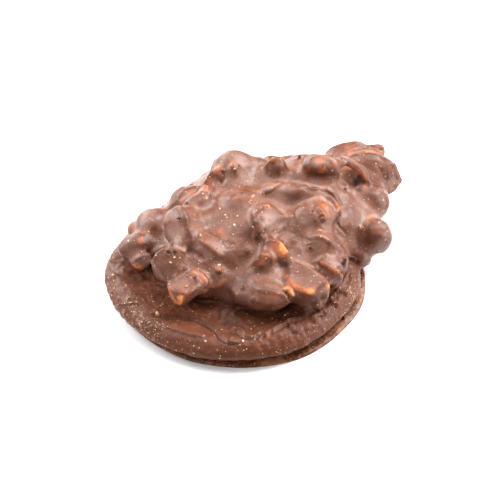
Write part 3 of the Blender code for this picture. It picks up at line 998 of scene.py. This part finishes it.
paintedShadeSpots = {  # painted shade on faces turned from the light and under the pieces: point, radius, strength
    "tailFace": ((370, 166), 3.4, 0.62),
    "tailRight": ((387, 172), 2.8, 0.55),
    "tailTop": ((368, 147), 2.6, 0.22),
    "tailLow": ((376, 183), 2.6, 0.6),
    "lobeFace": ((172, 264), 3.0, 0.38),
    "slabFrontLeft": ((300, 298), 2.0, 0.4),
    "slabFrontRight": ((316, 301), 2.2, 0.45),
    "shellHollow": ((353, 175), 2.2, 0.95),
    "noseLeft": ((251, 229), 2.2, 0.5),
    "flakeBand": ((184, 222), 1.2, 0.35),
    "belowBump": ((320, 248), 1.7, 0.1),
    "ballLeft": ((370, 242), 2.0, 0.1),
    "fingerTop": ((262, 276), 3.4, 0.2),
    "lowMound": ((240, 262), 3.8, 0.3),
    "aboveSlab": ((241, 281), 3.0, 0.34),
    "coneLeft": ((256, 268), 1.6, 0.5),
    "besideSlab": ((283, 268), 1.3, 0.2),
    "overFinger": ((262, 280), 1.5, 0.3),
    "plateau": ((225, 215), 4.5, 0.18),
    "terrace": ((349, 207), 4.0, 0.18),
}

paintedShadeLines = {  # painted shade in the seams and hollows: points, width, strength
    "shellHollow": ([(342, 167), (348, 174), (356, 181), (364, 186)], 1.1, 0.75),
    "oblongFront": ([(303, 168), (311, 173), (322, 174.5), (333, 172), (340, 168)], 1.3, 0.42),
    "fingerSide": ([(205, 183), (212, 178), (219, 173)], 1.1, 0.4),
    "coneFoot": ([(264, 166), (267, 172), (274, 176), (283, 174)], 0.9, 0.4),
    "boxSlot": ([(193, 276), (197, 283), (198, 288)], 0.5, 0.6),
    "shardSlot": ([(285, 290), (288, 296), (292, 302)], 0.5, 0.8),
    "besideDrip": ([(345, 258), (343, 266), (342, 275)], 0.6, 0.7),
    "belowFinger": ([(240, 305), (248, 312), (256, 316), (272, 316), (286, 308), (292, 303)], 0.6, 0.6),
    "besideHump": ([(223, 170), (223, 179), (219, 184)], 0.5, 0.5),
    "noseLeft": ([(255, 236), (259, 243), (264, 246)], 0.7, 0.5),
}

frostSpots = {  # scuffed, dusty places: point, radius, strength
    "rimFarLeft": ((109, 290), 3.0, 0.6),
    "rimLeft": ((120, 308), 3.6, 0.75),
    "rimNear": ((137, 325), 3.6, 0.8),
    "rimNearer": ((155, 340), 3.4, 0.6),
    "rimFront": ((182, 352), 3.0, 0.2),
    "boxPatch": ((200, 286), 1.0, 0.8),
    "bubble": ((341, 318), 1.2, 0.6),
    "rimRight": ((357, 292), 2.6, 0.5),
    "rimRightLow": ((345, 312), 2.6, 0.5),
    "footFront": ((240, 365), 5.0, 0.12),
    "footRight": ((300, 355), 5.0, 0.2),
    "footCorner": ((110, 257), 1.4, 0.4),
}

masks = dict(
    most=1.2,
    spotReach=1.25,  # a spot's edge is soft, so it reaches past its radius
    flush=0.5,  # the crest mask where the surface neither stands out nor sinks
    crests=[(4, 0.035, 0.25), (30, 0.4, 0.5)],  # rounds of smoothing, reach and share: fine, broad
    pattyHeight=(4.7, 6.6),
    pattyReach=(23.6, 25.0),
    edgeHeight=(0.4, 1.4),
)


def addMask(mesh, name, values):
    layer = mesh.attributes.new(name, "FLOAT", "POINT")
    layer.data.foreach_set("value", np.clip(values, 0, masks["most"]).astype(np.float32))


def lineMask(surface, lines):
    mask = np.zeros(len(surface.co))
    for points, width, strength in lines:
        for path in surface.pathOn(points):
            picked, distance, _, along = surface.near(path, width)
            value = strength * faded(along, strokes["fade"]) * (1 - (distance / width) ** 2)
            mask[picked] = np.maximum(mask[picked], value)
    return mask


def spotMask(surface, spots):
    mask = np.zeros(len(surface.co))
    for point, radius, strength in spots.values():
        picked, distance = surface.spot(point, radius * masks["spotReach"])
        mask[picked] = np.maximum(mask[picked], strength * (1 - distance ** 2))
    return mask


def crestMask(surface):
    # how far each point stands out of the surface about it
    mask = masks["flush"]
    for times, reach, share in masks["crests"]:
        off = surface.co - surface.spread(surface.co, times)
        mask = mask + share * ((off * surface.normals).sum(1) / reach)
    return mask


def outFrom(surface, centre):
    return np.hypot(surface.co[:, 0] - centre[0], surface.co[:, 1] - centre[1])


def paint(obj):
    surface = Surface(obj)
    mesh = obj.data
    thinLines = [(row[0], row[1], row[3]) for row in ridges.values() if len(row) > 3]
    marks = {
        "thin": (thinLines, thinSpots),
        # the rim mask holds painted highlights: the pale lines and the spots of painted light
        "rim": (paintedHighlightLines.values(), paintedLightSpots),
        # the dark mask holds painted shade
        "dark": (paintedShadeLines.values(), paintedShadeSpots),
        "frost": ([], frostSpots),
    }
    for name, (lines, spots) in marks.items():
        addMask(mesh, name, np.maximum(lineMask(surface, lines), spotMask(surface, spots)))
    addMask(mesh, "crest", crestMask(surface))
    height = surface.co[:, 2]
    low = 1 - smoothStep(*masks["pattyHeight"], height)
    addMask(mesh, "patty", low * (1 - smoothStep(*masks["pattyReach"], outFrom(surface, patty["centre"]))))
    addMask(mesh, "edge", 1 - smoothStep(*masks["edgeHeight"], height))
    return surface


# Crumbs that lie on the coat

crumbs = dict(
    seed=5,
    uneven=(0.55, 1.35),
    long=1.3,
    wide=0.8,
    raised=0.2,  # share of its thickness by which a crumb's middle stands off the coat
    facing=0.3,  # how far past upright the coat may lean and still carry crumbs
    clusters=(0.25, 0, 0.35, 2.6, 9),  # least, the noise's range, its size and its seed
    patches=(0.06, 0.05, 0.35, 6, 12),
    lowest=dict(cream=0.3, rim=0.15, edge=0.05),
    fewerOnPatty=0.5,
    frostPower=1.5,
    rimElsewhere=0.005,
    edgeBand=1.6,  # how far in from the rim the crumbs of the edge lie
    namedSize=0.8,
    namedFlat=0.4,
    cream=dict(count=560, size=(0.035, 0.09), flat=0.5),
    rim=dict(count=640, size=(0.035, 0.12), flat=0.4),
    nut=dict(count=110, size=(0.06, 0.15), flat=0.6),
    edge=dict(count=260, size=(0.06, 0.17), flat=0.5),
)

namedCrumbs = {  # larger crumbs of the photograph: point and half length
    "cream": [
        ((234.4, 225), 0.34), ((220, 209), 0.25), ((225.6, 215), 0.22), ((227, 217.4), 0.2),
        ((237.5, 216), 0.24), ((261, 208), 0.22), ((253, 227), 0.26), ((170.6, 262.7), 0.34),
        ((174.4, 257.4), 0.3), ((156, 255.5), 0.22), ((128.5, 241), 0.26), ((149, 232), 0.3),
        ((157.2, 313.9), 0.5), ((200.3, 235.4), 0.32), ((234.4, 168.8), 0.34), ((202.7, 193.8), 0.3),
        ((337.5, 211), 0.26), ((320.8, 236.6), 0.24), ((266, 258.4), 0.26), ((219, 265), 0.3),
        ((285, 315), 0.22), ((205, 341), 0.24), ((243, 341), 0.26), ((179.7, 217), 0.26),
        ((186.4, 230), 0.22), ((232, 338), 0.2), ((251, 329), 0.22), ((376, 163.5), 0.2), ((360, 226), 0.3),
        ((291, 258), 0.24), ((113, 275), 0.3), ((126, 285), 0.2), ((142, 322), 0.24), ((149, 322), 0.2),
        ((134, 312), 0.24), ((121, 318), 0.26),
    ],
    "nut": [
        ((253, 196.6), 0.4), ((267.9, 206.3), 0.4), ((186, 286.5), 0.36), ((320, 230.6), 0.4),
        ((206.3, 198.2), 0.34), ((293, 216), 0.3), ((178, 297), 0.3), ((352, 224), 0.26),
    ],
}


def addCrumb(bm, rng, at, facing, size, flat):
    verts = bmesh.ops.create_icosphere(bm, subdivisions=1, radius=size)["verts"]
    for vert in verts:
        vert.co *= rng.uniform(*crumbs["uneven"])
    bmesh.ops.scale(bm, vec=(crumbs["long"], crumbs["wide"], flat), verts=verts)
    turned = Euler((0, 0, rng.uniform(0, math.tau))).to_matrix()
    turned = facing.to_track_quat("Z", "Y").to_matrix() @ turned
    bmesh.ops.rotate(bm, matrix=turned, verts=verts)
    bmesh.ops.translate(bm, vec=at + facing * size * flat * crumbs["raised"], verts=verts)
    for vert in verts:
        vert.co.z = max(vert.co.z, 0)


def scatter(bm, rng, surface, weight, count, size, flat):
    picks = rng.choice(len(weight), count, replace=False, p=weight / weight.sum())
    for pick in picks:
        long = size[0] + (size[1] - size[0]) * rng.uniform() ** 2
        addCrumb(bm, rng, Vector(surface.co[pick]), Vector(surface.normals[pick]), long, flat)


def addNamed(bm, rng, surface, places):
    for point, size in places:
        found = surface.seen(*point)
        if found:
            addCrumb(bm, rng, *found, size * crumbs["namedSize"], crumbs["namedFlat"])


def gathered(surface, least, low, high, size, seed):
    # crumbs lie closer together in some places than in others
    return least + smoothStep(low, high, noiseAt(surface.co, size, seed))


def maskOf(obj, name):
    layer = obj.data.attributes[name].data
    column = np.zeros(len(layer), np.float32)
    layer.foreach_get("value", column)
    return column.astype(float)


def makeCrumbs(obj, surface):
    rng = np.random.default_rng(crumbs["seed"])
    frost, foot, onPatty = (maskOf(obj, name) for name in ("frost", "edge", "patty"))
    above = {name: surface.co[:, 2] > height for name, height in crumbs["lowest"].items()}
    up = np.clip(surface.normals[:, 2] + crumbs["facing"], 0, None)
    clusters = gathered(surface, *crumbs["clusters"])
    everywhere = up * clusters * above["cream"] * (1 - crumbs["fewerOnPatty"] * onPatty)
    rim = (frost ** crumbs["frostPower"] + crumbs["rimElsewhere"] * onPatty) * clusters * above["rim"]
    outside = outFrom(surface, patty["footCentre"]) > patty["radius"] - crumbs["edgeBand"]
    edge = foot * outside * above["edge"] * gathered(surface, *crumbs["patches"])
    cream = bmesh.new()
    scatter(cream, rng, surface, everywhere, **crumbs["cream"])
    scatter(cream, rng, surface, rim, **crumbs["rim"])
    addNamed(cream, rng, surface, namedCrumbs["cream"])
    nut = bmesh.new()
    scatter(nut, rng, surface, everywhere, **crumbs["nut"])
    scatter(nut, rng, surface, edge, **crumbs["edge"])
    addNamed(nut, rng, surface, namedCrumbs["nut"])
    return meshObject("creamCrumbs", cream), meshObject("nutCrumbs", nut)


surface = paint(chocolate)
creamCrumbs, nutCrumbs = makeCrumbs(chocolate, surface)
for piece in (chocolate, creamCrumbs, nutCrumbs):
    placeInFrame(piece)
print("crumbs:", len(creamCrumbs.data.polygons) + len(nutCrumbs.data.polygons), "faces")


# Finishes

class Nodes:
    # builds the node tree of a new material
    def __init__(self, name):
        self.material = bpy.data.materials.new(name)
        self.material.use_nodes = True
        self.tree = self.material.node_tree
        self.shader = self.tree.nodes["Principled BSDF"]
        self.place = self.add("TexCoord", {}).outputs["Object"]

    def feed(self, socket, value):
        if isinstance(value, bpy.types.NodeSocket):
            self.tree.links.new(value, socket)
        elif socket.type == "RGBA" and len(value) == 3:
            socket.default_value = (*value, 1)
        else:
            socket.default_value = value

    def add(self, kind, inputs, **settings):
        node = self.tree.nodes.new("ShaderNode" + kind)
        for name, setting in settings.items():
            setattr(node, name, setting)
        for key, value in inputs.items():
            self.feed(node.inputs[key], value)
        return node

    def mix(self, factor, a, b, blend="MIX"):
        return self.add("Mix", {0: factor, 6: a, 7: b}, data_type="RGBA", blend_type=blend).outputs[2]

    def reckon(self, operation, a, b):
        return self.add("Math", {0: a, 1: b}, operation=operation).outputs[0]

    def times(self, a, b):
        return self.reckon("MULTIPLY", a, b)

    def plus(self, a, b):
        return self.reckon("ADD", a, b)

    def spread(self, value, low, high, newLow=0.0, newHigh=1.0):
        inputs = dict(enumerate((value, low, high, newLow, newHigh)))
        return self.add("MapRange", inputs, interpolation_type="SMOOTHSTEP").outputs[0]

    def noise(self, scale, detail=3, rough=0.55):
        inputs = {"Vector": self.place, "Scale": scale, "Detail": detail, "Roughness": rough}
        return self.add("TexNoise", inputs).outputs["Fac"]

    def mask(self, name):
        return self.add("Attribute", {}, attribute_name=name).outputs["Fac"]

    def uneven(self, value, share):
        return self.times(self.reckon("SUBTRACT", value, 0.5), share)

    def bump(self, layers):
        # each layer stands on the one before it
        below = {}
        for value, distance in layers:
            node = self.add("Bump", {"Distance": distance, "Height": value, **below})
            below = {"Normal": node.outputs["Normal"]}
        self.feed(self.shader.inputs["Normal"], below["Normal"])


chocolateColours = dict(
    milk=(0.182, 0.069, 0.04),
    patty=(0.108, 0.033, 0.015),
    warm=(0.1, 0.028, 0.013),
    dusty=(0.2, 0.095, 0.067),
    orange=(0.4, 0.1, 0.03),
    pale=(0.95, 0.37, 0.12),
    cream=(0.7, 0.5, 0.34),
    # painted highlight colour, laid on by the rim mask
    rim=(0.42, 0.25, 0.19),
    # painted shade colour, laid on by the dark mask
    dark=(0.035, 0.01, 0.005),
    frost=(0.3, 0.17, 0.12),
    crumbly=(0.27, 0.11, 0.055),
)

# scale, detail and roughness, in the order in which makeChocolate takes them
chocolateNoise = dict(
    broad=(160, 3), mottle=(620, 5, 0.62), fine=(2600, 4, 0.6), edge=(1100, 4, 0.6), grain=(4800, 2),
)

# low and high of what comes in, then of what goes out (0 and 1 if not given)
chocolateRanges = dict(
    clouds=(0.35, 0.65, 0.85, 1.14),
    grain=(0.3, 0.7, 0.86, 1.12),
    fine=(0.3, 0.7, 0.82, 1.17),
    warm=(0.53, 0.85, 0, 0.8),
    dusty=(0.45, 0.1, 0, 0.12),
    orange=(0.1, 0.65, 0, 0.9),
    pale=(0.75, 1.15, 0, 0.95),
    speck=(0.3, 0.16),
    darkDot=(0.34, 0.2),
    scuffEdge=(0.66, 0.8),
    scuff=(0.05, 0.6),
    crumbly=(0.46, 0.66, 0, 0.8),
    roughness=(0.35, 0.75, 0.31, 0.47),
    specular=(0, 0.6, 0.43, 0.12),
)

chocolateShares = dict(
    broad=0.45, mottle=0.55,  # how much of the clouds
    ragged=1.1,  # how uneven the edges of the thin places are
    specks=0.9, speck=0.75,  # a cell above this random value has a speck, of this strength
    darkDots=0.08, darkDot=0.5,  # a cell below this one has a dark dot
    frost=0.25, scuff=0.6,  # how far frost lowers the scuffs' threshold, and their strength
    crumblyPlaces=1.3,
    roughScuff=0.3,
    pattyDull=0.38,  # how much of a dark place's dullness the patty has
)
specksScale = 1900
chocolateBumps = dict(mottle=0.00006, fine=0.00009, grain=0.00003, scuff=0.00008, speck=0.00008)


def makeChocolate(tint, ranges, shares):
    nodes = Nodes("milkChocolate")
    names = ("thin", "frost", "crest", "dark", "patty")
    thin, frost, crest, dark, onPatty = (nodes.mask(name) for name in names)
    broad, mottle, fine, edgeNoise, grain = (nodes.noise(*layer) for layer in chocolateNoise.values())

    colour = nodes.mix(onPatty, tint["milk"], tint["patty"])
    clouds = nodes.plus(nodes.times(broad, shares["broad"]), nodes.times(mottle, shares["mottle"]))
    shade = nodes.spread(clouds, *ranges["clouds"])
    shade = nodes.times(shade, nodes.spread(grain, *ranges["grain"]))
    shade = nodes.times(shade, nodes.spread(fine, *ranges["fine"]))
    shaded = nodes.add("CombineColor", {channel: shade for channel in range(3)})
    colour = nodes.mix(1.0, colour, shaded.outputs[0], "MULTIPLY")
    for name in ("warm", "dusty"):
        colour = nodes.mix(nodes.spread(crest, *ranges[name]), colour, tint[name])

    # painted highlights
    colour = nodes.mix(nodes.mask("rim"), colour, tint["rim"])
    # painted shade
    colour = nodes.mix(dark, colour, tint["dark"])
    thinEdge = nodes.plus(thin, nodes.uneven(mottle, shares["ragged"]))
    for name in ("orange", "pale"):
        colour = nodes.mix(nodes.spread(thinEdge, *ranges[name]), colour, tint[name])

    cells = nodes.add("TexVoronoi", {"Vector": nodes.place, "Scale": specksScale})
    distance = cells.outputs["Distance"]
    random = nodes.add("SeparateColor", {0: cells.outputs["Color"]}).outputs[0]
    chosen = nodes.reckon("GREATER_THAN", random, shares["specks"])
    speck = nodes.times(chosen, nodes.spread(distance, *ranges["speck"]))
    colour = nodes.mix(nodes.times(speck, shares["speck"]), colour, tint["cream"])
    chosen = nodes.reckon("LESS_THAN", random, shares["darkDots"])
    darkDot = nodes.times(chosen, nodes.spread(distance, *ranges["darkDot"]))
    colour = nodes.mix(nodes.times(darkDot, shares["darkDot"]), colour, tint["patty"])

    scuff = nodes.plus(nodes.times(frost, shares["frost"]), edgeNoise)
    scuff = nodes.spread(scuff, *ranges["scuffEdge"])
    scuff = nodes.times(scuff, nodes.spread(frost, *ranges["scuff"]))
    colour = nodes.mix(nodes.times(scuff, shares["scuff"]), colour, tint["frost"])
    inPlaces = nodes.plus(edgeNoise, nodes.uneven(broad, shares["crumblyPlaces"]))
    crumbly = nodes.times(nodes.mask("edge"), nodes.spread(inPlaces, *ranges["crumbly"]))
    colour = nodes.mix(crumbly, colour, tint["crumbly"])
    nodes.feed(nodes.shader.inputs["Base Color"], colour)

    rough = nodes.plus(mottle, nodes.times(scuff, shares["roughScuff"]))
    nodes.feed(nodes.shader.inputs["Roughness"], nodes.spread(rough, *ranges["roughness"]))
    # where shade is painted, the sheen is dulled as well
    dull = nodes.reckon("MAXIMUM", nodes.times(onPatty, shares["pattyDull"]), dark)
    nodes.feed(nodes.shader.inputs["Specular IOR Level"], nodes.spread(dull, *ranges["specular"]))
    nodes.bump(zip((mottle, fine, grain, scuff, speck), chocolateBumps.values()))
    return nodes.material


crumbFinish = dict(
    cream=((0.82, 0.6, 0.4), (0.6, 0.33, 0.17)),
    nut=((0.7, 0.33, 0.13), (0.4, 0.14, 0.06)),
    noise=(900, 2),
    range=(0.35, 0.65),
    roughness=0.6,
    bumpNoise=(6000, 2),
    bump=0.00003,
)


def makeCrumbFinish(name, light, dark):
    nodes = Nodes(name)
    mottle = nodes.spread(nodes.noise(*crumbFinish["noise"]), *crumbFinish["range"])
    nodes.feed(nodes.shader.inputs["Base Color"], nodes.mix(mottle, light, dark))
    nodes.feed(nodes.shader.inputs["Roughness"], crumbFinish["roughness"])
    nodes.bump([(nodes.noise(*crumbFinish["bumpNoise"]), crumbFinish["bump"])])
    return nodes.material


chocolate.data.materials.append(makeChocolate(chocolateColours, chocolateRanges, chocolateShares))
creamCrumbs.data.materials.append(makeCrumbFinish("creamCrumb", *crumbFinish["cream"]))
nutCrumbs.data.materials.append(makeCrumbFinish("nutCrumb", *crumbFinish["nut"]))
for piece in (chocolate, creamCrumbs, nutCrumbs):
    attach(piece, "root")
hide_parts("chocolate_cluster")

# Stage

stage = dict(
    floorSize=3.0,
    floorColour=(0.9, 0.9, 0.9),
    world=0.04,
    distance=0.26,
)

# soft boxes: power, size, angle round from straight behind towards the right, height as an angle
softBoxes = {
    "key": dict(power=1.08, size=(0.1, 0.1), round=60, height=45),
    "right": dict(power=0.52, size=(0.13, 0.09), round=100, height=20),
    "left": dict(power=0.74, size=(0.13, 0.09), round=290, height=35),
    "backLeft": dict(power=0.5, size=(0.13, 0.09), round=330, height=20),
    "top": dict(power=0.48, size=(0.13, 0.13), round=0, height=75),
    "front": dict(power=0.22, size=(0.13, 0.13), round=215, height=40),
}


def makeFloor():
    bm = bmesh.new()
    bmesh.ops.create_grid(bm, x_segments=1, y_segments=1, size=stage["floorSize"] / 2)
    floor = meshObject("floor", bm)
    material = bpy.data.materials.new("floorPaint")
    material.use_nodes = True
    shader = material.node_tree.nodes["Principled BSDF"]
    shader.inputs["Base Color"].default_value = (*stage["floorColour"], 1)
    floor.data.materials.append(material)


def makeLight(name, power, size, round, height):
    data = bpy.data.lights.new(name, "AREA")
    data.energy = power
    data.shape = "RECTANGLE"
    data.size, data.size_y = size
    light = bpy.data.objects.new(name, data)
    behind = Vector((-viewBack.x, -viewBack.y, 0)).normalized()
    turn, rise = math.radians(round), math.radians(height)
    flat = behind * math.cos(turn) + viewRight * math.sin(turn)
    way = flat * math.cos(rise) + Vector((0, 0, math.sin(rise)))
    light.location = way * stage["distance"]
    light.rotation_mode = "QUATERNION"
    light.rotation_quaternion = (-way).to_track_quat("-Z", "Y")
    light.visible_camera = False
    collection.objects.link(light)


def makeWorld():
    world = bpy.data.worlds.new("world")
    world.use_nodes = True
    background = world.node_tree.nodes["Background"]
    background.inputs["Color"].default_value = (1, 1, 1, 1)
    background.inputs["Strength"].default_value = stage["world"]
    bpy.context.scene.world = world


makeFloor()
makeWorld()
for name, box in softBoxes.items():
    makeLight(name, **box)
bpy.context.scene.view_settings.view_transform = "Standard"
